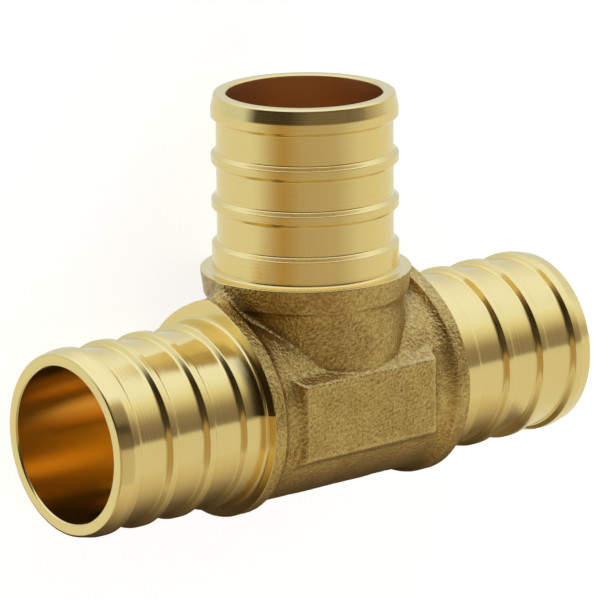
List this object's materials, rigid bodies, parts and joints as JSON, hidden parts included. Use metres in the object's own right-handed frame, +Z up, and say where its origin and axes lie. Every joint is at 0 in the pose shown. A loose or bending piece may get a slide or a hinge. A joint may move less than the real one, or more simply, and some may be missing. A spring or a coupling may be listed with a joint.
{
  "type": "pex crimp tee",
  "caption": "One-piece brass tee with a ribbed crimp barb on each end of its run and on its branch, for joining plastic water pipe.",
  "frame": {"origin": "where the axes of the run and the branch cross, in the middle of the run bore", "axes": "+X along the run, +Y along the branch towards its mouth, +Z up through the raised pad; the tee lies on its side on its three collars, 10.12 mm below the origin"},
  "size_m": [0.058, 0.0393, 0.0202],
  "materials": {
    "brass": "barbs and shoulders turned bright, body left as cast"
  },
  "bodies": {
    "root": {"tee_body": "brass"}
  },
  "joints": []
}
